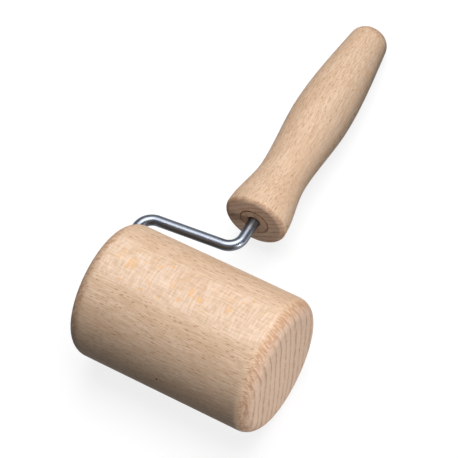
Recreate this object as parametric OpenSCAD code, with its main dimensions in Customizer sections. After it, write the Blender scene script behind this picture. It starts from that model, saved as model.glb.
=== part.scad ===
// Single-arm pastry roller: a turned beech barrel that spins on a bent steel wire, with a turned beech grip.
// Millimetres. The wire is bent in one plane, which also holds the barrel's axis and the grip's axis.

/* [Barrel] */
// Diameter of the barrel
barrel_d = 62; // [56:1:70]
// Length of the barrel
barrel_len = 90; // [80:1:110]
// Rounding of the barrel's two edges
barrel_edge_r = 7; // [3:0.5:10]
// Solid wood left between the blind bore and the closed end
end_wall = 18; // [12:1:30]

/* [Wire] */
// Diameter of the wire
wire_d = 5; // [4:0.5:6]
// Radius of each bend, on the wire's centre line
wire_bend_r = 7; // [6:0.5:8]
// Gap between the barrel's open end and the wire's side arm
arm_gap = 0.7; // [0.4:0.1:2]
// Gap between the barrel and the cross arm, at the side arm's corner
loop_gap = 6.5; // [5:0.5:9]
// Gap between the barrel and the cross arm, at the grip's corner
grip_gap = 10.7; // [8:0.1:13]
// Distance of the grip's corner from the middle of the barrel, towards the side arm
grip_offset = 4; // [-5:0.5:10]
// Angle of the grip away from square to the barrel, in degrees, towards the side arm
grip_splay = 2.4; // [0:0.2:5]
// Wire between the grip's corner and the front of the grip
wire_out = 16.5; // [13:0.5:22]
// Wire held inside the grip
wire_in_grip = 60; // [45:1:70]
// Chamfer of the wire's two tips
wire_tip = 0.6; // [0.3:0.1:1]

/* [Grip] */
// Length of the grip
grip_len = 120; // [110:1:140]
// Diameter at the front of the grip
grip_front_d = 29.5; // [27:0.5:33]
// Diameter of the neck
grip_neck_d = 22.5; // [21:0.5:26]
// Diameter of the belly
grip_belly_d = 27.2; // [25:0.1:31]
// Diameter where the rounding of the rear end begins
grip_tail_d = 18.5; // [18:0.5:22]
// Distance of the neck from the front
grip_neck_at = 28.5; // [24:0.5:36]
// Distance of the belly from the front
grip_belly_at = 66; // [55:1:75]
// Slope of the grip where the rounding of the rear end begins, in degrees
grip_taper = 7; // [5:1:12]
// Rounding of the front edge
grip_front_r = 2.4; // [1:0.2:4]
// Rounding of the rear edge
grip_tail_r = 7; // [5:0.5:9]

/* [Plugs] */
// Diameter of the two split plugs' seats
plug_d = 14; // [12.5:0.5:16]
// Length of a plug
plug_len = 12; // [9:0.5:15]
// Chamfer of a plug's edges and of the seats' mouths
plug_edge = 0.3; // [0.1:0.1:0.6]
// Angle of the split in the barrel's plug, in degrees from the wire's plane
barrel_split = 30; // [0:5:175]
// Angle of the split in the grip's plug, in degrees from the wire's plane
grip_split = 16; // [0:1:175]

/* [Rings] */
// Diameter of the lock rings pushed onto the wire
lock_d = 11; // [10:0.5:12]
// Thickness of a lock ring
lock_t = 0.8; // [0.5:0.1:1.2]
// Number of slots between a lock ring's teeth
lock_slots = 6; // [4:1:8]
// Width of a slot
slot_w = 0.9; // [0.5:0.1:1.2]
// Depth of a slot beyond the wire
slot_depth = 1.5; // [0.8:0.1:2]
// Diameter of the thrust washer
washer_d = 12; // [10:0.5:12]
// Thickness of the thrust washer
washer_t = 1; // [0.6:0.1:1.5]

/* [Clearances] */
// Running clearance between the wire and the barrel's bores, on the radius
run_clear = 0.08; // [0.03:0.01:0.1]
// Gap around the wire where it enters the grip's plug, on the radius
entry_clear = 0.4; // [0.1:0.1:0.6]
// End play of the barrel, between its plug and the thrust washer
end_play = 0.3; // [0.2:0.1:0.6]
// Glue line between a plug and its seat, on the radius
glue_gap = 0.06; // [0.03:0.01:0.12]
// Gap left between the two halves of a plug
split_gap = 0.16; // [0.1:0.02:0.3]
// Space from the straight axle's start to the face of the barrel's plug
bend_clear = 0.5; // [0.3:0.1:1]
// Space left behind a lock ring
ring_space = 1.2; // [0.8:0.1:2]
// Space left beyond each tip of the wire
tip_space = 2; // [1:0.5:4]

/* [Hidden] */

beech_side = [0.87, 0.72, 0.56];
beech_plug = [0.74, 0.60, 0.46];
bright_wire = [0.62, 0.64, 0.68];
spring_steel = [0.42, 0.43, 0.46];
$fn = 96;

// How far a cut runs past the face that it opens
cut_over = 1;
// Point angle of the drill that leaves the blind bores' bottoms, in degrees
drill_angle = 118;
// How much thinner the wire is drawn in its bends, on the radius
bend_thin = 0.02;
// Steps of each stretch of the grip's outline
front_steps = 6;
curve_steps = 12;
tail_steps = 12;

barrel_r = barrel_d / 2;
wire_r = wire_d / 2;
seat_r = plug_d / 2;
plug_r = seat_r - glue_gap;
axle_bore_r = wire_r + run_clear;
entry_bore_r = wire_r + entry_clear;
bend_wire_r = wire_r - bend_thin;
// How far a bend reaches into the straights beside it, short enough to stay inside them
bend_lap = sqrt(bend_thin * wire_bend_r);

// Corners of the wire's centre line, in the wire's plane: the barrel's middle is the origin, Y is its axis
side_arm_y = barrel_len / 2 + arm_gap + wire_r;
cross_arm_x = barrel_r + loop_gap + wire_r;
grip_corner = [barrel_r + grip_gap + wire_r, grip_offset];
grip_dir = [cos(grip_splay), sin(grip_splay)];
grip_face = grip_corner + wire_out * grip_dir;
bore_bottom_y = end_wall - barrel_len / 2;
wire_corners = [
    [0, bore_bottom_y + tip_space],
    [0, side_arm_y],
    [cross_arm_x, side_arm_y],
    grip_corner,
    grip_face + wire_in_grip * grip_dir
];

// Depths into the barrel from its open end
barrel_plug_at = barrel_len / 2 - (side_arm_y - wire_bend_r) + bend_clear;
barrel_washer_at = barrel_plug_at + plug_len + end_play;
barrel_ring_at = barrel_washer_at + washer_t;
barrel_chamber = barrel_ring_at + lock_t + ring_space;
barrel_bore = barrel_len / 2 - bore_bottom_y;

// Depths into the grip from its front
grip_ring_at = plug_len + end_play;
grip_chamber = grip_ring_at + lock_t + ring_space;
grip_bore = wire_in_grip + tip_space;

// Outline of the grip: distance from the front and radius, with the curve's slope where stretches meet
tail_r = min(grip_tail_r, grip_tail_d / 2);
tail_centre = [grip_len - tail_r, grip_tail_d / 2 - tail_r * cos(grip_taper)];
grip_stations = [
    [grip_front_r, grip_front_d / 2, 0],
    [grip_neck_at, grip_neck_d / 2, 0],
    [grip_belly_at, grip_belly_d / 2, 0],
    [tail_centre[0] + tail_r * sin(grip_taper), grip_tail_d / 2, -tan(grip_taper)]
];
grip_outline = concat(
    [[0, grip_front_d / 2 - grip_front_r]],
    edge_arc([grip_front_r, grip_front_d / 2 - grip_front_r], grip_front_r, -90, 0, front_steps),
    [for (k = [0:len(grip_stations) - 2], i = [1:curve_steps])
        curve_point(grip_stations[k], grip_stations[k + 1], i / curve_steps)],
    edge_arc(tail_centre, tail_r, grip_taper, 90, tail_steps)
);

// At rest the barrel and the grip both lie on the table: the first point of the grip to touch sets the tilt
tilt = min([for (p = grip_outline) touch_tilt(grip_face[0] + p[0] * grip_dir[0], p[1])]);
grip_lean = sqrt(1 - pow(grip_dir[0] * cos(tilt), 2));
reach_x = max([for (p = grip_outline) (grip_face[0] + p[0] * grip_dir[0]) * cos(tilt) + p[1] * grip_lean]);
mid_x = (reach_x - barrel_r) / 2;
mid_y = (side_arm_y + wire_r - barrel_len / 2) / 2;

// Points of an arc about centre c, as distance and radius, past angle a and up to angle b from square
function edge_arc(c, r, a, b, steps) =
    [for (i = [1:steps]) let (t = a + (b - a) * i / steps) c + r * [sin(t), cos(t)]];

// Point at share t of the smooth curve between two stations
function curve_point(p, q, t) =
    let (run = q[0] - p[0])
    [
        p[0] + run * t,
        p[1] * (1 + t * t * (2 * t - 3)) + q[1] * t * t * (3 - 2 * t)
            + run * t * (1 - t) * (p[2] * (1 - t) - q[2] * t)
    ];

// Tilt at which a ring of radius r, at distance x from the barrel's axis, comes down to the table
function touch_tilt(x, r) = asin(barrel_r / norm([x, r])) - atan2(r, x);

function heading(a, b) = atan2(b[1] - a[1], b[0] - a[0]);
function corner_turn(i) =
    heading(wire_corners[i], wire_corners[i + 1]) - heading(wire_corners[i - 1], wire_corners[i]);
// Wire that the bend at corner i takes from each straight stretch, none at the two tips
function bend_take(i) =
    i == 0 || i == len(wire_corners) - 1 ? 0 : wire_bend_r * tan(abs(corner_turn(i)) / 2);

// From the wire's plane to the resting place on the table
module at_rest() {
    translate([-mid_x, -mid_y, barrel_r]) rotate([0, tilt, 0]) children();
}

// Z runs into the barrel from the middle of its open end
module into_barrel() {
    at_rest() translate([0, barrel_len / 2, 0]) rotate([90, 0, 0]) children();
}

// Z runs into the grip from the middle of its front
module into_grip() {
    at_rest() translate([grip_face[0], grip_face[1], 0]) rotate([0, 0, grip_splay])
        rotate([0, 90, 0]) children();
}

// Blind bore with the drill's point at its bottom
module drilled(r, depth) {
    translate([0, 0, -cut_over]) cylinder(r = r, h = depth + cut_over);
    translate([0, 0, depth]) cylinder(r1 = r, r2 = 0, h = r / tan(drill_angle / 2));
}

// Chamfer around the mouth of a hole
module mouth(r) {
    translate([0, 0, -cut_over]) cylinder(r1 = r + plug_edge + cut_over, r2 = r, h = plug_edge + cut_over);
}

// Seat of a plug with the chamber behind it, and the wire's bore beyond
module plug_seat(chamber, bore_r, bore_depth) {
    translate([0, 0, -cut_over]) cylinder(r = seat_r, h = chamber + cut_over);
    drilled(bore_r, bore_depth);
    mouth(seat_r);
}

// One half of a plug that closes around the wire
module plug_half(bore_r, turn) {
    rotate([0, 0, turn]) intersection() {
        difference() {
            cylinder(r = plug_r, h = plug_len);
            translate([0, 0, -cut_over]) cylinder(r = bore_r, h = plug_len + 2 * cut_over);
            mouth(bore_r);
            difference() {
                cylinder(r = plug_r + cut_over, h = plug_edge);
                cylinder(r1 = plug_r - plug_edge, r2 = plug_r, h = plug_edge);
            }
        }
        translate([-plug_d, split_gap / 2, -cut_over]) cube([2 * plug_d, plug_d, plug_len + 2 * cut_over]);
    }
}

// Flat spring ring whose teeth grip the wire
module lock_ring() {
    difference() {
        cylinder(r = lock_d / 2, h = lock_t);
        translate([0, 0, -cut_over]) cylinder(r = wire_r, h = lock_t + 2 * cut_over);
        for (i = [0:lock_slots - 1]) {
            rotate([0, 0, 360 * i / lock_slots])
                translate([0, -slot_w / 2, -cut_over])
                cube([wire_r + slot_depth, slot_w, lock_t + 2 * cut_over]);
        }
    }
}

// Half outline of the barrel along Y, with both edges rounded
module barrel_outline() {
    square([barrel_r - barrel_edge_r, barrel_len]);
    translate([0, barrel_edge_r]) square([barrel_r, barrel_len - 2 * barrel_edge_r]);
    for (y = [barrel_edge_r, barrel_len - barrel_edge_r])
        translate([barrel_r - barrel_edge_r, y]) circle(r = barrel_edge_r);
}

// Straight stretch of the wire along X, with a chamfer at a tip
module wire_straight(run, first, last) {
    head = first ? wire_tip : 0;
    foot = last ? wire_tip : 0;
    rotate([0, 90, 0]) {
        translate([0, 0, head]) cylinder(r = wire_r, h = run - head - foot);
        if (first) cylinder(r1 = wire_r - wire_tip, r2 = wire_r, h = head);
        if (last) translate([0, 0, run - foot]) cylinder(r1 = wire_r, r2 = wire_r - wire_tip, h = foot);
    }
}

// The frame at the far end of a bend that starts along X, with X along the wire again
module past_bend(turn) {
    centre_y = sign(turn) * wire_bend_r;
    translate([0, centre_y, 0]) rotate([0, 0, turn]) translate([0, -centre_y, 0]) children();
}

// Bend of the wire that starts along X, to the left for a positive turn: a ring cut just past both ends
module wire_bend(turn) {
    reach = 2 * (wire_bend_r + wire_r);
    intersection() {
        translate([0, sign(turn) * wire_bend_r, 0])
            rotate_extrude() translate([wire_bend_r, 0]) circle(r = bend_wire_r);
        translate([-bend_lap, -reach, -reach]) cube(2 * reach);
        past_bend(turn) translate([bend_lap - 2 * reach, -reach, -reach]) cube(2 * reach);
    }
}

// The wire from the straight that leaves corner i, each stretch placed at the end of the one before
module wire_from(i) {
    run = norm(wire_corners[i + 1] - wire_corners[i]) - bend_take(i) - bend_take(i + 1);
    last = i == len(wire_corners) - 2;
    wire_straight(run, i == 0, last);
    if (!last) {
        translate([run, 0, 0]) {
            wire_bend(corner_turn(i + 1));
            past_bend(corner_turn(i + 1)) wire_from(i + 1);
        }
    }
}

module roller_barrel() {
    color(beech_side) into_barrel() difference() {
        rotate_extrude() barrel_outline();
        plug_seat(barrel_chamber, axle_bore_r, barrel_bore);
    }
}

module roller_plug_upper() {
    color(beech_plug) into_barrel() translate([0, 0, barrel_plug_at])
        plug_half(axle_bore_r, barrel_split);
}

module roller_plug_lower() {
    color(beech_plug) into_barrel() translate([0, 0, barrel_plug_at])
        plug_half(axle_bore_r, barrel_split + 180);
}

module axle_washer() {
    color(bright_wire) into_barrel() translate([0, 0, barrel_washer_at]) difference() {
        cylinder(r = washer_d / 2, h = washer_t);
        translate([0, 0, -cut_over]) cylinder(r = axle_bore_r, h = washer_t + 2 * cut_over);
    }
}

module axle_lock_ring() {
    color(spring_steel) into_barrel() translate([0, 0, barrel_ring_at]) lock_ring();
}

module wire_frame() {
    color(bright_wire) at_rest()
        translate([0, wire_corners[0][1], 0]) rotate([0, 0, heading(wire_corners[0], wire_corners[1])])
        wire_from(0);
}

module handle() {
    color(beech_side) into_grip() difference() {
        rotate_extrude() polygon(concat(
            [[0, 0]],
            [for (p = grip_outline) [p[1], p[0]]],
            [[0, grip_len]]
        ));
        plug_seat(grip_chamber, wire_r, grip_bore);
    }
}

module handle_plug_upper() {
    color(beech_plug) into_grip() plug_half(entry_bore_r, grip_split + 90);
}

module handle_plug_lower() {
    color(beech_plug) into_grip() plug_half(entry_bore_r, grip_split + 270);
}

module handle_lock_ring() {
    color(spring_steel) into_grip() translate([0, 0, grip_ring_at]) lock_ring();
}

roller_barrel();
roller_plug_upper();
roller_plug_lower();
axle_washer();
axle_lock_ring();
wire_frame();
handle();
handle_plug_upper();
handle_plug_lower();
handle_lock_ring();
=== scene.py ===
from math import asin, atan2, cos, hypot, pi, radians, sin, sqrt, tan

import bpy
from mathutils import Matrix, Vector


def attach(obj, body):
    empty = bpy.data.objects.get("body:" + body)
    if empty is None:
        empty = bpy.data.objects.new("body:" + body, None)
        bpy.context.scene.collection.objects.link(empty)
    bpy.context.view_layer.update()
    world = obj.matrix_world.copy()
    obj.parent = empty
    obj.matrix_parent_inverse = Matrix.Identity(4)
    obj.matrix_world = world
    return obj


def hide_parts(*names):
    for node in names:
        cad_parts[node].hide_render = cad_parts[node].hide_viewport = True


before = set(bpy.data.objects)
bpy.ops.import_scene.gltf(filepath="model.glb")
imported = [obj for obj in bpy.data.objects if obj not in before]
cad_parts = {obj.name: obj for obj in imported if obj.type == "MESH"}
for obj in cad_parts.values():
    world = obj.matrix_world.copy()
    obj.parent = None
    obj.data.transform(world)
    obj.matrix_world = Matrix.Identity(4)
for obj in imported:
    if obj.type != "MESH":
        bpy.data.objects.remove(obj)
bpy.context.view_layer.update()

MM = 1000  # millimetres in a metre

# Sizes of the roller in millimetres and degrees
BARREL_D, BARREL_LEN, BARREL_EDGE_R = 62, 90, 7
END_WALL = 18  # wood between the axle's bore and the closed end
WIRE_D, WIRE_BEND_R = 5, 7
WIRE_TIP = 0.6  # chamfer of the wire's cut ends
WIRE_SKIN = 0.01  # taken off the wire's radius, so that it stays inside the CAD wire
ARM_GAP = 0.7  # from the barrel's open end to the side arm
LOOP_GAP, GRIP_GAP = 6.5, 10.7  # from the barrel to the cross arm, at its outer and its grip corner
GRIP_OFFSET, GRIP_SPLAY = 4, 2.4  # grip corner from the barrel's middle, and the grip's angle
WIRE_OUT, WIRE_IN_GRIP = 16.5, 60  # from the grip corner to the grip's face, and on into the grip
GRIP_LEN, GRIP_FRONT_D, GRIP_NECK_D, GRIP_BELLY_D, GRIP_TAIL_D = 120, 29.5, 22.5, 27.2, 18.5
GRIP_NECK_AT, GRIP_BELLY_AT, GRIP_TAPER = 28.5, 66, 7
GRIP_FRONT_R, GRIP_TAIL_R = 2.4, 7
PLUG_D, PLUG_EDGE = 14, 0.3
BARREL_CHAMBER, GRIP_CHAMBER = 19.6, 14.3  # depth of the wide bore for the plug and the rings
RUN_CLEAR = 0.08  # between the axle and its bore, on the radius
TIP_SPACE, DRILL_ANGLE = 2, 118  # left ahead of the wire's tip, and the angle of the drill's point

BARREL_R = BARREL_D / 2
WIRE_R = WIRE_D / 2
SEAT_R = PLUG_D / 2

# Fineness of the meshes
GRIP_CURVE_STEPS, ROUNDING_FACETS, WOOD_FACETS, BEND_FACETS, WIRE_FACETS = 12, 12, 128, 16, 40
SHARP_WOOD, SHARP_STEEL = radians(30), radians(35)
SEAM = 0.002  # points closer than this become one

# The wire's corners in its own plane: the barrel's middle is the origin, Y its axis
SIDE_ARM_Y = BARREL_LEN / 2 + ARM_GAP + WIRE_R
CROSS_ARM_X = BARREL_R + LOOP_GAP + WIRE_R
GRIP_DIR = Vector((cos(radians(GRIP_SPLAY)), sin(radians(GRIP_SPLAY)), 0))
GRIP_CORNER = Vector((BARREL_R + GRIP_GAP + WIRE_R, GRIP_OFFSET, 0))
GRIP_FACE = GRIP_CORNER + WIRE_OUT * GRIP_DIR
WIRE_CORNERS = [
    Vector((0, END_WALL - BARREL_LEN / 2 + TIP_SPACE, 0)),
    Vector((0, SIDE_ARM_Y, 0)),
    Vector((CROSS_ARM_X, SIDE_ARM_Y, 0)),
    GRIP_CORNER,
    GRIP_FACE + WIRE_IN_GRIP * GRIP_DIR,
]

# Beech in millimetres: across the growth rings, along them, along the grain
RING_PITCH, GRIP_RING_PITCH, RING_PHASE = 4.3, 2.5, 0.54
RING_BOW = 0.0035  # how soon a ring curves away from its middle
WANDER_CYCLES, WANDER_REACH = (0.05, 0.05, 0.012), (4.4, 3.0, 0)
CLOUD_CYCLES = (0.05, 0.05, 0.02)
# Cell that holds one ray, half the ray's size, and a shift of the pattern
BROAD_RAYS = ((24, 1.5, 4.2), (13, 0.17, 1.4), 3.0)
FINE_RAYS = ((16, 0.9, 3.0), (9, 0.15, 1.1), 11.0)
# Noises that follow the grain: cycles in a millimetre, and detail
GRAIN = {
    "patchy": ((0.4, 0.25, 0.3), 3.0),
    "fibre": ((1.9, 1.9, 0.13), 4.0),
    "pores": ((3.0, 3.0, 0.42), 2.0),
    "ripple": ((0.2, 0.4, 1.05), 3.0),
    "brown": ((1.5, 0.22, 0.3), 2.0),
}
# Single flecks: place across the rings and up the grain, half size both ways, and bow
BARREL_MARKS = [
    (-6.2, 47.5, 2.7, 1.4, 0), (-6.2, 65.6, 1.7, 1.1, 0), (-6.2, 19, 2.0, 0.9, 0),
    (-2.5, 12.5, 1.1, 0.9, 0), (1.4, 33.7, 0.6, 1.6, 0), (1.1, 25.6, 0.6, 1.0, 0),
    (-14, 27, 0.7, 1.2, 0), (-14, 17, 0.9, 0.8, 0), (-11.5, 44.4, 1.2, 1.3, 0),
]
GRIP_MARKS = [
    (1.3, 22, 2.4, 0.35, 0.12), (3.1, 102, 2.2, 0.35, -0.12),
    (2.2, 104, 1.4, 0.3, -0.1), (2.4, 83, 1.2, 0.7, 0),
]
BARREL_KNOTS = [((-30.9, -2.1, 46.2), 0.6)]  # place and radius
GLUE_FROM, GLUE_FULL = 0.75, 0.25  # how far inside the plug's edge the glue begins and is thick

# Steel: noises in cycles in a millimetre, and how little the drawn lines change along the wire
LINE_CYCLES, LINE_STRETCH, SMUDGE_CYCLES = (3.2, 3.2, 3.0), 0.012, 0.11
GROOVE_CYCLES, STAIN_CYCLES = 9, 0.35

# Reliefs: strength, and depth in metres
WOOD_RELIEF, WIRE_RELIEF, RING_RELIEF = (0.3, 0.1 / MM), (0.2, 0.03 / MM), (0.2, 0.04 / MM)


def colour(red, green, blue):
    """A colour on the 0 to 255 scale of pictures, as Blender's linear light."""
    return tuple(c / 12.92 if c <= 0.04045 else ((c + 0.055) / 1.055) ** 2.4
                 for c in (red / 255, green / 255, blue / 255))


WOOD = {name: colour(*levels) for name, levels in {
    "pale": (231, 205, 180), "warm": (203, 170, 140), "red": (193, 153, 120),
    "pore": (158, 118, 88), "silver": (244, 229, 216), "end": (205, 182, 170),
    "browned edge": (160, 110, 74), "late wood": (158, 112, 80),
    "ray dash": (152, 100, 64), "ray fleck": (228, 180, 126), "ray line": (228, 208, 190),
    "knot": (88, 58, 38), "darker": (150, 112, 80),
    "dark glue": (70, 52, 38), "amber glue": (190, 120, 62),
}.items()}
WIRE_LIGHT, WIRE_DARK = colour(136, 140, 147), colour(114, 118, 126)
WASHER_LIGHT, WASHER_DARK = colour(196, 199, 205), colour(150, 154, 160)
RING_LIGHT, RING_DARK = colour(122, 126, 134), colour(70, 72, 80)

# The camera that took the photograph, and the studio: metres, watts and degrees
FILM_MM, FOCAL_LENGTH_PX, PICTURE_PX = 36, 2400, 458
CAMERA_AT = (-0.42261046, -0.32846735, 0.94116061)
CAMERA_RIGHT = (0.49832951, -0.86119469, -0.10005697)
CAMERA_UP = (0.77980988, 0.39478983, 0.48583695)
NEAREST_SEEN = 0.01
FLOOR_HALF = 3
FLOOR_PLAIN, FLOOR_SHADED, FLOOR_GLOW = 0.07, 0.2, 0.82
ROOM_LIGHT, ROOM_STRENGTH = (1, 0.93, 0.84, 1), 0.02
SWEEP_WHITE, SWEEP_ABOVE = (1, 1, 1), (0.10, 0.15, 0.24)
SWEEP_FROM, SWEEP_TO = 0.05, 0.25


def curve_point(p, q, share):
    """Distance and radius at a share of the smooth curve between two stations.
    A station is a distance, a radius and a slope."""
    run = q[0] - p[0]
    return (p[0] + run * share,
            p[1] * (1 + share * share * (2 * share - 3)) + q[1] * share * share * (3 - 2 * share)
            + run * share * (1 - share) * (p[2] * (1 - share) - q[2] * share))


def grip_curve():
    """Distance and radius along the grip, between its front and its tail rounding."""
    tail_from = GRIP_LEN - GRIP_TAIL_R + GRIP_TAIL_R * sin(radians(GRIP_TAPER))
    stations = [
        (GRIP_FRONT_R, GRIP_FRONT_D / 2, 0),
        (GRIP_NECK_AT, GRIP_NECK_D / 2, 0),
        (GRIP_BELLY_AT, GRIP_BELLY_D / 2, 0),
        (tail_from, GRIP_TAIL_D / 2, -tan(radians(GRIP_TAPER))),
    ]
    points = [stations[0][:2]]
    for p, q in zip(stations, stations[1:]):
        points += [curve_point(p, q, i / GRIP_CURVE_STEPS) for i in range(1, GRIP_CURVE_STEPS + 1)]
    return points


def resting_tilt():
    """Tilt at which the barrel and the grip both lie on the table, in radians."""
    def touch(distance, radius):
        x = GRIP_FACE.x + distance * GRIP_DIR.x
        return asin(BARREL_R / hypot(x, radius)) - atan2(radius, x)
    return min(touch(*point) for point in grip_curve())


def tool_matrix():
    """From the wire's plane in millimetres to the resting place in metres."""
    tilt = resting_tilt()
    lean = sqrt(1 - (GRIP_DIR.x * cos(tilt)) ** 2)
    tail_at = GRIP_LEN - GRIP_TAIL_R
    tail_r = GRIP_TAIL_D / 2 - GRIP_TAIL_R * cos(radians(GRIP_TAPER))
    angles = [radians(GRIP_TAPER + (90 - GRIP_TAPER) * i / ROUNDING_FACETS)
              for i in range(ROUNDING_FACETS + 1)]
    arc = [(tail_at + GRIP_TAIL_R * sin(a), tail_r + GRIP_TAIL_R * cos(a)) for a in angles]
    reach = max((GRIP_FACE.x + d * GRIP_DIR.x) * cos(tilt) + r * lean for d, r in arc)
    middle = Vector(((reach - BARREL_R) / 2, (SIDE_ARM_Y + WIRE_R - BARREL_LEN / 2) / 2, -BARREL_R))
    return Matrix.Scale(1 / MM, 4) @ Matrix.Translation(-middle) @ Matrix.Rotation(tilt, 4, 'Y')


TOOL = tool_matrix()
# Z runs into the wood from the middle of the face that the wire enters
INTO_BARREL = TOOL @ Matrix.Translation((0, BARREL_LEN / 2, 0)) @ Matrix.Rotation(radians(90), 4, 'X')
INTO_GRIP = (TOOL @ Matrix.Translation(GRIP_FACE) @ Matrix.Rotation(radians(GRIP_SPLAY), 4, 'Z')
             @ Matrix.Rotation(radians(90), 4, 'Y'))


class Value:
    """A socket of a node tree. Sums on it add the Math nodes that work them out."""

    def __init__(self, tree, socket):
        self.tree = tree
        self.socket = socket

    def out(self, name):
        """Another output of the same node."""
        return Value(self.tree, find_socket(self.socket.node.outputs, name))

    def math(self, operation, a, b=None):
        values = {i: v for i, v in enumerate((a, b)) if v is not None}
        return self.tree.node("ShaderNodeMath", {"operation": operation}, values)

    def __add__(self, other):
        return self.math("ADD", self, other)

    def __sub__(self, other):
        return self.math("SUBTRACT", self, other)

    def __mul__(self, other):
        return self.math("MULTIPLY", self, other)

    def __truediv__(self, other):
        return self.math("DIVIDE", self, other)

    def __pow__(self, other):
        return self.math("POWER", self, other)

    def __rsub__(self, other):
        return self.math("SUBTRACT", other, self)

    def __rtruediv__(self, other):
        return self.math("DIVIDE", other, self)

    __radd__ = __add__
    __rmul__ = __mul__

    def size(self):
        return self.math("ABSOLUTE", self)

    def fraction(self):
        return self.math("FRACT", self)

    def most(self, other):
        return self.math("MAXIMUM", self, other)

    def rise(self, low, high):
        """0 below low, 1 above high, smooth between."""
        return self.tree.node("ShaderNodeMapRange", {"interpolation_type": "SMOOTHSTEP"},
                              {"Value": self, "From Min": low, "From Max": high})


def find_socket(sockets, name):
    """A socket by place, by its identifier, or by its name among those in use."""
    if isinstance(name, int):
        return sockets[name]
    for socket in sockets:
        if socket.identifier == name:
            return socket
    return next(socket for socket in sockets if socket.name == name and socket.enabled)


class Tree:
    """A node tree that is written out in Python."""

    def __init__(self, tree):
        self.nodes = tree.nodes
        self.links = tree.links
        self.nodes.clear()

    def node(self, kind, settings=None, values=None, out=0):
        """Add a node: its settings first, then each socket's value or link."""
        node = self.nodes.new(kind)
        for name, setting in (settings or {}).items():
            setattr(node, name, setting)
        for name, value in (values or {}).items():
            socket = find_socket(node.inputs, name)
            if isinstance(value, Value):
                self.links.new(value.socket, socket)
            else:
                socket.default_value = value
        return Value(self, find_socket(node.outputs, out)) if node.outputs else None

    def vector(self, operation, a, b=None, out=0):
        values = {i: v for i, v in enumerate((a, b)) if v is not None}
        return self.node("ShaderNodeVectorMath", {"operation": operation}, values, out)

    def blend(self, factor, a, b):
        """Mix two colours."""
        a, b = ((*c, 1) if isinstance(c, tuple) else c for c in (a, b))
        return self.node("ShaderNodeMix", {"data_type": "RGBA"},
                         {"Factor_Float": factor, "A_Color": a, "B_Color": b}, "Result_Color")

    def noise(self, vector, scale, detail, out="Fac"):
        return self.node("ShaderNodeTexNoise", None,
                         {"Vector": vector, "Scale": scale, "Detail": detail, "Roughness": 0.55}, out)

    def scaled(self, vector, factors):
        return self.vector("MULTIPLY", vector, factors)

    def length(self, vector):
        return self.vector("LENGTH", vector, out="Value")

    def axis(self, vector, name):
        """One of a vector's three numbers."""
        return self.node("ShaderNodeSeparateXYZ", None, {"Vector": vector}, name)

    def joined(self, **numbers):
        """A vector from its numbers X, Y and Z, 0 where none is given."""
        return self.node("ShaderNodeCombineXYZ", None, numbers)

    def bump(self, strength, depth, height):
        return self.node("ShaderNodeBump", None,
                         {"Strength": strength, "Distance": depth, "Height": height})

    def in_millimetres(self, coordinates, inwards):
        """Object coordinates as millimetres of a piece's own place."""
        return self.node("ShaderNodeMapping", {"vector_type": "POINT"},
                         {"Vector": coordinates.out("Object"), "Location": inwards.translation,
                          "Rotation": inwards.to_3x3().normalized().to_euler(), "Scale": (MM, MM, MM)})


def new_material(name):
    material = bpy.data.materials.new(name)
    material.use_nodes = True
    return material, Tree(material.node_tree)


def finish_surface(tree, constants, varying):
    """The surface shader, with what is the same all over set on its own sockets."""
    shader = tree.node("ShaderNodeBsdfPrincipled", None, {**constants, **varying})
    tree.node("ShaderNodeOutputMaterial", None, {"Surface": shader})


def glue_line(tree, local, seat_r, body):
    """Glue pressed out along the round edge of a plug, dark and amber by turns."""
    rim = tree.length(tree.scaled(local, (1, 1, 0))).rise(seat_r - GLUE_FROM, seat_r - GLUE_FULL)
    blobs = tree.noise(local, 0.9, 2.0)
    glue = tree.blend(blobs.rise(0.5, 0.6), WOOD["dark glue"], WOOD["amber glue"])
    return tree.blend(rim * 0.8, body, glue)


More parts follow.
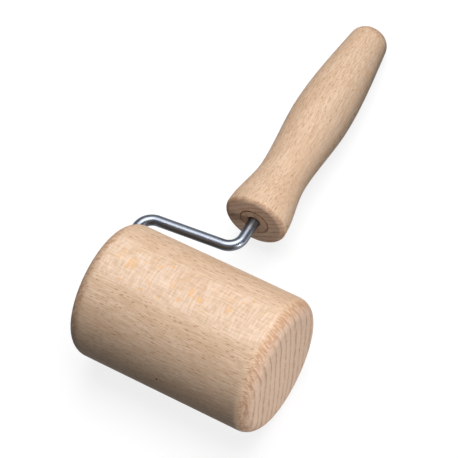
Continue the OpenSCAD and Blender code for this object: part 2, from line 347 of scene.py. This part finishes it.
def beech(name, place, ring_angle, tone=0.0, glue_at=None, marks=(), silver=0.34, knots=(),
          pitch=RING_PITCH):
    """Beech as solid wood. The grain runs along the piece's own Z, and the growth rings cross X
    turned by ring_angle about it. Rays are thin upright ribbons that run across the rings: dark
    dashes where their ends show, flecks where the surface lies along them, pale lines on the end
    grain. The tone darkens the whole piece, and silver is the strength of the ripple. The two
    numbers of a rise are the levels where a mark begins and where it is full."""
    material, tree = new_material(name)
    coordinates = tree.node("ShaderNodeTexCoord")
    in_wood = Matrix.Rotation(-radians(ring_angle), 4, 'Z') @ place.inverted()
    position = tree.in_millimetres(coordinates, in_wood)
    facing = tree.node("ShaderNodeMapping", {"vector_type": "VECTOR"},
                       {"Vector": coordinates.out("Normal"),
                        "Rotation": in_wood.to_3x3().normalized().to_euler()})
    place_x, place_y, place_z = (tree.axis(position, letter) for letter in "XYZ")

    # Where the surface lies along the rays, where it cuts the grain, and the rounded edge between
    lean = place_y * (2 * RING_BOW)
    flecked = (tree.axis(facing, "Y") - tree.axis(facing, "X") * lean).size().rise(0.92, 0.995)
    end_grain = tree.axis(facing, "Z").size()
    on_end = end_grain.rise(0.45, 0.95)
    on_edge = end_grain.rise(0.12, 0.5) * (1 - end_grain.rise(0.75, 0.98))

    def side_to_end(side, end):
        """A strength on the wood's sides and on its end grain."""
        return side + on_end * (end - side)

    # Slow wander of the grain
    wander = tree.noise(tree.scaled(position, WANDER_CYCLES), 1.0, 3.0, "Color")
    wander = tree.vector("SUBTRACT", wander, (0.5, 0.5, 0.5))
    wood = tree.vector("ADD", position, tree.scaled(wander, WANDER_REACH))
    x, y = tree.axis(wood, "X"), tree.axis(wood, "Y")
    patchy, fibre, pores, ripple, brown = (
        tree.noise(tree.scaled(wood, cycles), 1.0, detail) for cycles, detail in GRAIN.values())
    cloud = tree.noise(tree.scaled(position, CLOUD_CYCLES), 1.0, 2.0)

    # Growth rings: the late wood darkens slowly, ends sharply, and is stronger in some places
    ring = (x + y * y * RING_BOW) / pitch + RING_PHASE
    pace = tree.noise(tree.joined(X=ring * 0.7), 1.0, 1.0)
    in_ring = (ring + (pace - 0.5) * 0.55).fraction()
    late = in_ring.rise(0.5, 0.9) * (1 - in_ring.rise(0.9, 1.0)) * (0.25 + patchy.rise(0.3, 0.62) * 0.75)

    # Rays: one ribbon in each cell, with its own measure of distance
    fanned = tree.joined(X=x, Y=y * (1 - x * (2 * RING_BOW)), Z=place_z)

    def rays(cell, half, shift):
        spread = tree.vector("ADD", tree.scaled(fanned, tuple(1 / c for c in cell)), (shift,) * 3)
        cells = tree.node("ShaderNodeTexVoronoi", {"voronoi_dimensions": "3D"},
                          {"Vector": spread, "Scale": 1.0, "Randomness": 1.0}, "Position")
        off = tree.scaled(tree.vector("SUBTRACT", spread, cells),
                          tuple(c / h for c, h in zip(cell, half)))
        chance = tree.node("ShaderNodeSeparateColor", None, {"Color": cells.out("Color")})
        return (1 - tree.length(off).rise(0.5, 1.0)) * chance.rise(0.1, 0.7)

    ray = rays(*BROAD_RAYS).most(rays(*FINE_RAYS) * 0.75)
    for across, up, half_across, half_up, bow in marks:
        over = place_x - across
        above = place_z - up - over * over * bow
        reach = (over * over / half_across ** 2 + above * above / half_up ** 2) ** 0.5
        ray = ray.most((1 - reach.rise(0.3, 1.15)) * flecked)

    # Colour, from the plain wood up
    body = tree.blend(fibre.rise(0.25, 0.75), WOOD["pale"], WOOD["warm"])
    body = tree.blend(cloud.rise(0.35, 0.8) * 0.4, body, WOOD["red"])
    body = tree.blend(pores.rise(0.48, 0.72) * side_to_end(0.16, 0.5), body, WOOD["pore"])
    body = tree.blend(ripple.rise(0.35, 0.68) * flecked * silver, body, WOOD["silver"])
    body = tree.blend(on_end * 0.35, body, WOOD["end"])
    body = tree.blend(on_edge * (0.12 + brown.rise(0.42, 0.6) * 0.45), body, WOOD["browned edge"])
    body = tree.blend(late * side_to_end(0.05, 0.65), body, WOOD["late wood"])
    ray_tone = tree.blend(flecked, WOOD["ray dash"], WOOD["ray fleck"])
    ray_tone = tree.blend(on_end, ray_tone, WOOD["ray line"])
    body = tree.blend(ray * side_to_end(0.72, 0.32), body, ray_tone)
    for middle, radius in knots:
        away = tree.length(tree.vector("SUBTRACT", position, middle))
        body = tree.blend((1 - away.rise(radius * 0.4, radius * 1.3)) * 0.85, body, WOOD["knot"])
    if tone:
        body = tree.blend(tone, body, WOOD["darker"])
    if glue_at:
        body = glue_line(tree, tree.in_millimetres(coordinates, place.inverted()), glue_at, body)

    relief = tree.bump(*WOOD_RELIEF, fibre * 0.6 - ray * 0.5 - late * 0.3)
    finish_surface(tree, {"IOR": 1.5, "Specular IOR Level": 0.0, "Coat Roughness": 0.42, "Coat IOR": 1.5},
                   {"Base Color": body, "Coat Weight": side_to_end(0.3, 0.15) - ray * 0.1,
                    "Roughness": 0.46 + fibre * 0.16 + on_end * 0.08, "Normal": relief})
    return material


def drawn_steel():
    """Wire as it leaves the drawing die: satin, with fine lines along its length."""
    material, tree = new_material("drawn_steel")
    around = tree.node("ShaderNodeAttribute", {"attribute_name": "around"}, None, "Vector")
    along = tree.node("ShaderNodeAttribute", {"attribute_name": "along"}, None, "Fac")
    stretched = tree.vector("ADD", around, tree.joined(Z=along * LINE_STRETCH))
    lines = tree.noise(tree.scaled(stretched, LINE_CYCLES), 1.0, 3.0)
    smudge = tree.noise(tree.vector("ADD", around, tree.joined(Z=along)), SMUDGE_CYCLES, 2.0)
    tint = tree.blend(lines.rise(0.3, 0.7) * 0.35 + smudge.rise(0.4, 0.7) * 0.15, WIRE_LIGHT, WIRE_DARK)
    finish_surface(tree, {"Metallic": 1.0, "Specular Tint": (0.25, 0.26, 0.28, 1)},
                   {"Base Color": tint, "Roughness": 0.28 + lines * 0.08 + smudge * 0.06,
                    "Normal": tree.bump(*WIRE_RELIEF, lines)})
    return material


def stamped_steel(name, place, light, dark):
    """Sheet steel of the small rings, brushed round and round."""
    material, tree = new_material(name)
    local = tree.in_millimetres(tree.node("ShaderNodeTexCoord"), place.inverted())
    from_axis = tree.length(tree.scaled(local, (1, 1, 0)))
    grooves = tree.noise(tree.joined(X=from_axis * GROOVE_CYCLES), 1.0, 2.0)
    stain = tree.noise(local, STAIN_CYCLES, 3.0)
    finish_surface(tree, {"Metallic": 1.0},
                   {"Base Color": tree.blend(grooves * 0.5 + stain * 0.4, light, dark),
                    "Roughness": 0.28 + stain * 0.2, "Normal": tree.bump(*RING_RELIEF, grooves)})
    return material


def new_node_group(name, inputs):
    """A Geometry Nodes tree with its geometry sockets and named inputs, by socket name."""
    group = bpy.data.node_groups.new(name, "GeometryNodeTree")
    for way in ("INPUT", "OUTPUT"):
        group.interface.new_socket("Geometry", in_out=way, socket_type="NodeSocketGeometry")
    for label, kind in inputs:
        group.interface.new_socket(label, in_out="INPUT", socket_type=kind)
    tree = Tree(group)
    start = group.nodes.new("NodeGroupInput")
    return group, tree, {s.name: Value(tree, s) for s in start.outputs if s.name}


def named(tree, label):
    """A number that each corner of the given line carries."""
    return tree.node("GeometryNodeInputNamedAttribute", {"data_type": "FLOAT"}, {"Name": label})


def finish_shape(tree, shape, sharp_angle, material):
    """Sharp edges, the material and the end of a Geometry Nodes tree."""
    sharp = tree.node("FunctionNodeCompare", {"operation": "GREATER_THAN"},
                      {"A": tree.node("GeometryNodeInputMeshEdgeAngle"), "B": sharp_angle})
    shape = tree.node("GeometryNodeSetShadeSmooth", {"domain": "EDGE"},
                      {"Geometry": shape, "Selection": sharp, "Shade Smooth": False})
    shape = tree.node("GeometryNodeRealizeInstances", None, {"Geometry": shape})
    shape = tree.node("GeometryNodeSetMaterial", None, {"Geometry": shape, "Material": material})
    tree.node("NodeGroupOutput", None, {"Geometry": shape})


def made_by(group, name, points, attributes, inputs):
    """Run a tree on a line of points and keep the result as a plain mesh object."""
    mesh = bpy.data.meshes.new(name)
    mesh.from_pydata(points, [(i, i + 1) for i in range(len(points) - 1)], [])
    for label, numbers in attributes.items():
        mesh.attributes.new(label, "FLOAT", "POINT").data.foreach_set("value", numbers)
    piece = bpy.data.objects.new(name, mesh)
    bpy.context.scene.collection.objects.link(piece)
    modifier = piece.modifiers.new(name, "NODES")
    modifier.node_group = group
    for item in group.interface.items_tree:
        if item.in_out == "INPUT" and item.name in inputs:
            modifier[item.identifier] = inputs[item.name]
    shaped = piece.evaluated_get(bpy.context.evaluated_depsgraph_get())
    piece.data = bpy.data.meshes.new_from_object(shaped)
    piece.modifiers.clear()
    return piece


def lathe():
    """A half outline with rounded corners, turned about Z."""
    group, tree, given = new_node_group("lathe", [
        ("Facets round", "NodeSocketInt"), ("Facets of a rounding", "NodeSocketInt"),
        ("Sharpest smooth edge", "NodeSocketFloat"), ("Wood", "NodeSocketMaterial")])
    line = tree.node("GeometryNodeMeshToCurve", None, {"Mesh": given["Geometry"]})
    line = tree.node("GeometryNodeFilletCurve", {"mode": "POLY"},
                     {"Curve": line, "Count": given["Facets of a rounding"],
                      "Radius": named(tree, "rounding")})
    count = tree.node("GeometryNodeAttributeDomainSize", {"component": "CURVE"},
                      {"Geometry": line}, "Point Count")
    sheet = tree.node("GeometryNodeMeshGrid", None,
                      {"Vertices X": given["Facets round"] + 1, "Vertices Y": count})
    index = tree.node("GeometryNodeInputIndex")
    step = tree.node("FunctionNodeIntegerMath", {"operation": "DIVIDE_FLOOR"}, {0: index, 1: count})
    column = tree.node("FunctionNodeIntegerMath", {"operation": "MODULO"}, {0: index, 1: count})
    outline = tree.node("GeometryNodeSampleIndex", {"data_type": "FLOAT_VECTOR", "domain": "POINT"},
                        {"Geometry": line, "Value": tree.node("GeometryNodeInputPosition"),
                         "Index": column})
    turned = tree.node("ShaderNodeVectorRotate", {"rotation_type": "Z_AXIS"},
                       {"Vector": outline, "Angle": step * (2 * pi) / given["Facets round"]})
    shape = tree.node("GeometryNodeSetPosition", None, {"Geometry": sheet, "Position": turned})
    shape = tree.node("GeometryNodeMergeByDistance", None, {"Geometry": shape, "Distance": SEAM})
    finish_shape(tree, shape, given["Sharpest smooth edge"], given["Wood"])
    return group


def turn_wood(name, corners, place, wood):
    """Turn a piece from its outline, from the outside end inwards.
    A corner is a radius, a depth and a rounding."""
    piece = made_by(LATHE, name, [(radius, 0, depth) for radius, depth, _ in corners],
                    {"rounding": [rounding for _, _, rounding in corners]},
                    {"Facets round": WOOD_FACETS, "Facets of a rounding": ROUNDING_FACETS,
                     "Sharpest smooth edge": SHARP_WOOD, "Wood": wood})
    piece.data.transform(place)
    return piece


def drilled(bore_r, depth):
    """Corners of a blind bore with the drill's point at its bottom."""
    return [(bore_r, depth, 0), (0, depth + bore_r / tan(radians(DRILL_ANGLE / 2)), 0)]


def plug_seat(chamber, bore_r):
    """Corners of a plug's seat with its chamfered mouth, down to the wire's bore."""
    return [(SEAT_R + PLUG_EDGE, 0, 0), (SEAT_R, PLUG_EDGE, 0), (SEAT_R, chamber, 0), (bore_r, chamber, 0)]


def turned_barrel(wood):
    bore_r = WIRE_R + RUN_CLEAR
    outside = [(0, BARREL_LEN, 0), (BARREL_R, BARREL_LEN, BARREL_EDGE_R), (BARREL_R, 0, BARREL_EDGE_R)]
    inside = plug_seat(BARREL_CHAMBER, bore_r) + drilled(bore_r, BARREL_LEN - END_WALL)
    return turn_wood("turned_barrel", outside + inside, INTO_BARREL, wood)


def turned_grip(wood):
    slope = radians(GRIP_TAPER)
    tail_corner = GRIP_TAIL_D / 2 - (GRIP_TAIL_R * (1 - sin(slope))) * tan(slope)
    outside = [(0, GRIP_LEN, 0), (tail_corner, GRIP_LEN, GRIP_TAIL_R)]
    outside += [(radius, depth, 0) for depth, radius in reversed(grip_curve())]
    outside += [(GRIP_FRONT_D / 2, 0, GRIP_FRONT_R)]
    inside = plug_seat(GRIP_CHAMBER, WIRE_R) + drilled(WIRE_R, WIRE_IN_GRIP + TIP_SPACE)
    return turn_wood("turned_grip", outside + inside, INTO_GRIP, wood)


def wire_bender():
    """A line of corners bent to rounds and drawn out to a wire, with its length and its girth kept."""
    group, tree, given = new_node_group("wire_bender", [
        ("Wire radius", "NodeSocketFloat"), ("Bend radius", "NodeSocketFloat"),
        ("Facets of a bend", "NodeSocketInt"), ("Facets round", "NodeSocketInt"),
        ("Sharpest smooth edge", "NodeSocketFloat"), ("Steel", "NodeSocketMaterial")])
    line = tree.node("GeometryNodeMeshToCurve", None, {"Mesh": given["Geometry"]})
    line = tree.node("GeometryNodeFilletCurve", {"mode": "POLY"},
                     {"Curve": line, "Count": given["Facets of a bend"],
                      "Radius": named(tree, "bent") * given["Bend radius"]})
    line = tree.node("GeometryNodeStoreNamedAttribute", {"data_type": "FLOAT", "domain": "POINT"},
                     {"Geometry": line, "Name": "along",
                      "Value": tree.node("GeometryNodeSplineParameter", None, None, "Length")})
    ring = tree.node("GeometryNodeCurvePrimitiveCircle", {"mode": "RADIUS"},
                     {"Resolution": given["Facets round"], "Radius": given["Wire radius"]})
    ring = tree.node("GeometryNodeStoreNamedAttribute", {"data_type": "FLOAT_VECTOR", "domain": "POINT"},
                     {"Geometry": ring, "Name": "around",
                      "Value": tree.node("GeometryNodeInputPosition")})
    shape = tree.node("GeometryNodeCurveToMesh", None,
                      {"Curve": line, "Profile Curve": ring, "Scale": named(tree, "girth"),
                       "Fill Caps": True})
    finish_shape(tree, shape, given["Sharpest smooth edge"], given["Steel"])
    return group


def bend_wire(steel):
    """The wire frame from its corners, with both tips chamfered."""
    first = WIRE_CORNERS[0] + WIRE_TIP * (WIRE_CORNERS[1] - WIRE_CORNERS[0]).normalized()
    last = WIRE_CORNERS[-1] + WIRE_TIP * (WIRE_CORNERS[-2] - WIRE_CORNERS[-1]).normalized()
    points = [WIRE_CORNERS[0], first, *WIRE_CORNERS[1:-1], last, WIRE_CORNERS[-1]]
    tip = 1 - WIRE_TIP / WIRE_R
    piece = made_by(wire_bender(), "bent_wire", points,
                    {"bent": [0, 0, 1, 1, 1, 0, 0], "girth": [tip, 1, 1, 1, 1, 1, tip]},
                    {"Wire radius": WIRE_R - WIRE_SKIN, "Bend radius": WIRE_BEND_R,
                     "Facets of a bend": BEND_FACETS, "Facets round": WIRE_FACETS,
                     "Sharpest smooth edge": SHARP_STEEL, "Steel": steel})
    piece.data.transform(TOOL)
    return piece


def dress(material, *nodes):
    """Give CAD pieces their material."""
    for node in nodes:
        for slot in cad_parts[node].material_slots:
            slot.material = material


def add_camera():
    camera = bpy.data.objects.new("camera", bpy.data.cameras.new("camera"))
    right, up = Vector(CAMERA_RIGHT), Vector(CAMERA_UP)
    turn = Matrix((right, up, right.cross(up))).transposed().to_4x4()
    camera.matrix_world = Matrix.Translation(CAMERA_AT) @ turn
    camera.data.lens = FILM_MM * FOCAL_LENGTH_PX / PICTURE_PX
    camera.data.sensor_width = FILM_MM
    camera.data.clip_start = NEAREST_SEEN
    bpy.context.scene.collection.objects.link(camera)
    bpy.context.scene.camera = camera


def add_softbox(name, spot, towards, distance, size, watts, spread=180):
    """An area lamp that looks at a spot of the roller from a direction."""
    lamp = bpy.data.lights.new(name, "AREA")
    lamp.shape = "RECTANGLE"
    lamp.size, lamp.size_y = size
    lamp.energy = watts
    lamp.spread = radians(spread)
    box = bpy.data.objects.new(name, lamp)
    towards = Vector(towards).normalized()
    side = Vector((0, 1, 0)).cross(towards).normalized()
    turn = Matrix((side, towards.cross(side), towards)).transposed().to_4x4()
    box.matrix_world = Matrix.Translation(Vector(spot) + towards * distance) @ turn
    bpy.context.scene.collection.objects.link(box)


def white_to_lens(tree, plain, white):
    """A plain surface for the light that falls on the roller, white where it is seen or mirrored."""
    path = tree.node("ShaderNodeLightPath")
    seen = path.out("Is Camera Ray").most(path.out("Is Glossy Ray")).most(path.out("Is Transmission Ray"))
    return tree.node("ShaderNodeMixShader", None, {0: seen, 1: plain, 2: white})


def add_floor():
    """A pale floor that keeps a faint shadow."""
    mesh = bpy.data.meshes.new("floor")
    edge = FLOOR_HALF
    mesh.from_pydata([(-edge, -edge, 0), (edge, -edge, 0), (edge, edge, 0), (-edge, edge, 0)],
                     [], [(0, 1, 2, 3)])
    floor = bpy.data.objects.new("floor", mesh)
    bpy.context.scene.collection.objects.link(floor)
    material, tree = new_material("pale_floor")
    plain, shaded = (tree.node("ShaderNodeBsdfDiffuse", None, {"Color": (grey, grey, grey, 1)})
                     for grey in (FLOOR_PLAIN, FLOOR_SHADED))
    glow = tree.node("ShaderNodeEmission", None, {"Color": (1, 1, 1, 1), "Strength": FLOOR_GLOW})
    white = tree.node("ShaderNodeAddShader", None, {0: shaded, 1: glow})
    tree.node("ShaderNodeOutputMaterial", None, {"Surface": white_to_lens(tree, plain, white)})
    mesh.materials.append(material)


def add_world():
    """A dim room, and a white sweep that ends a little above the horizon."""
    world = bpy.data.worlds.new("studio")
    world.use_nodes = True
    tree = Tree(world.node_tree)
    room = tree.node("ShaderNodeBackground", None, {"Color": ROOM_LIGHT, "Strength": ROOM_STRENGTH})
    height = tree.axis(tree.node("ShaderNodeTexCoord").out("Generated"), "Z")
    seen = tree.blend(height.rise(SWEEP_FROM, SWEEP_TO), SWEEP_WHITE, SWEEP_ABOVE)
    sweep = tree.node("ShaderNodeBackground", None, {"Color": seen, "Strength": 1.0})
    tree.node("ShaderNodeOutputWorld", None, {"Surface": white_to_lens(tree, room, sweep)})
    bpy.context.scene.world = world


add_camera()
add_floor()
add_world()
add_softbox("key", spot=(0, 0, 0), towards=(0.17, -0.04, 1.0), distance=1.0,
            size=(0.72, 0.80), watts=12.2)
add_softbox("back", spot=(0, 0, 0), towards=(1.0, 0.25, 1.15), distance=1.0,
            size=(0.5, 0.7), watts=1.2)
add_softbox("front", spot=(-0.085, -0.05, 0.03), towards=(-0.15, -1.0, 0.2), distance=0.3,
            size=(0.14, 0.12), watts=0.065, spread=45)
bpy.context.scene.view_settings.view_transform = "Standard"

LATHE = lathe()
barrel_beech = beech("barrel_beech", INTO_BARREL, -8, marks=BARREL_MARKS, knots=BARREL_KNOTS)
grip_beech = beech("grip_beech", INTO_GRIP, 147, tone=0.1, marks=GRIP_MARKS, silver=0.12,
                   pitch=GRIP_RING_PITCH)
for piece, node, body, slot in (
        (turned_barrel(barrel_beech), "roller_barrel", "roller", "barrel_beech"),
        (turned_grip(grip_beech), "handle", "grip_frame", "grip_beech"),
        (bend_wire(drawn_steel()), "wire_frame", "grip_frame", "wire_steel")):
    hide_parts(node)
    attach(piece, body)

dress(beech("grip_plug_beech", INTO_GRIP, 60, tone=0.35, glue_at=SEAT_R),
      "handle_plug_upper", "handle_plug_lower")
dress(beech("barrel_plug_beech", INTO_BARREL, 40, tone=0.2, glue_at=SEAT_R),
      "roller_plug_upper", "roller_plug_lower")
dress(stamped_steel("washer_steel", INTO_BARREL, WASHER_LIGHT, WASHER_DARK), "axle_washer")
dress(stamped_steel("axle_ring_steel", INTO_BARREL, RING_LIGHT, RING_DARK), "axle_lock_ring")
dress(stamped_steel("grip_ring_steel", INTO_GRIP, RING_LIGHT, RING_DARK), "handle_lock_ring")
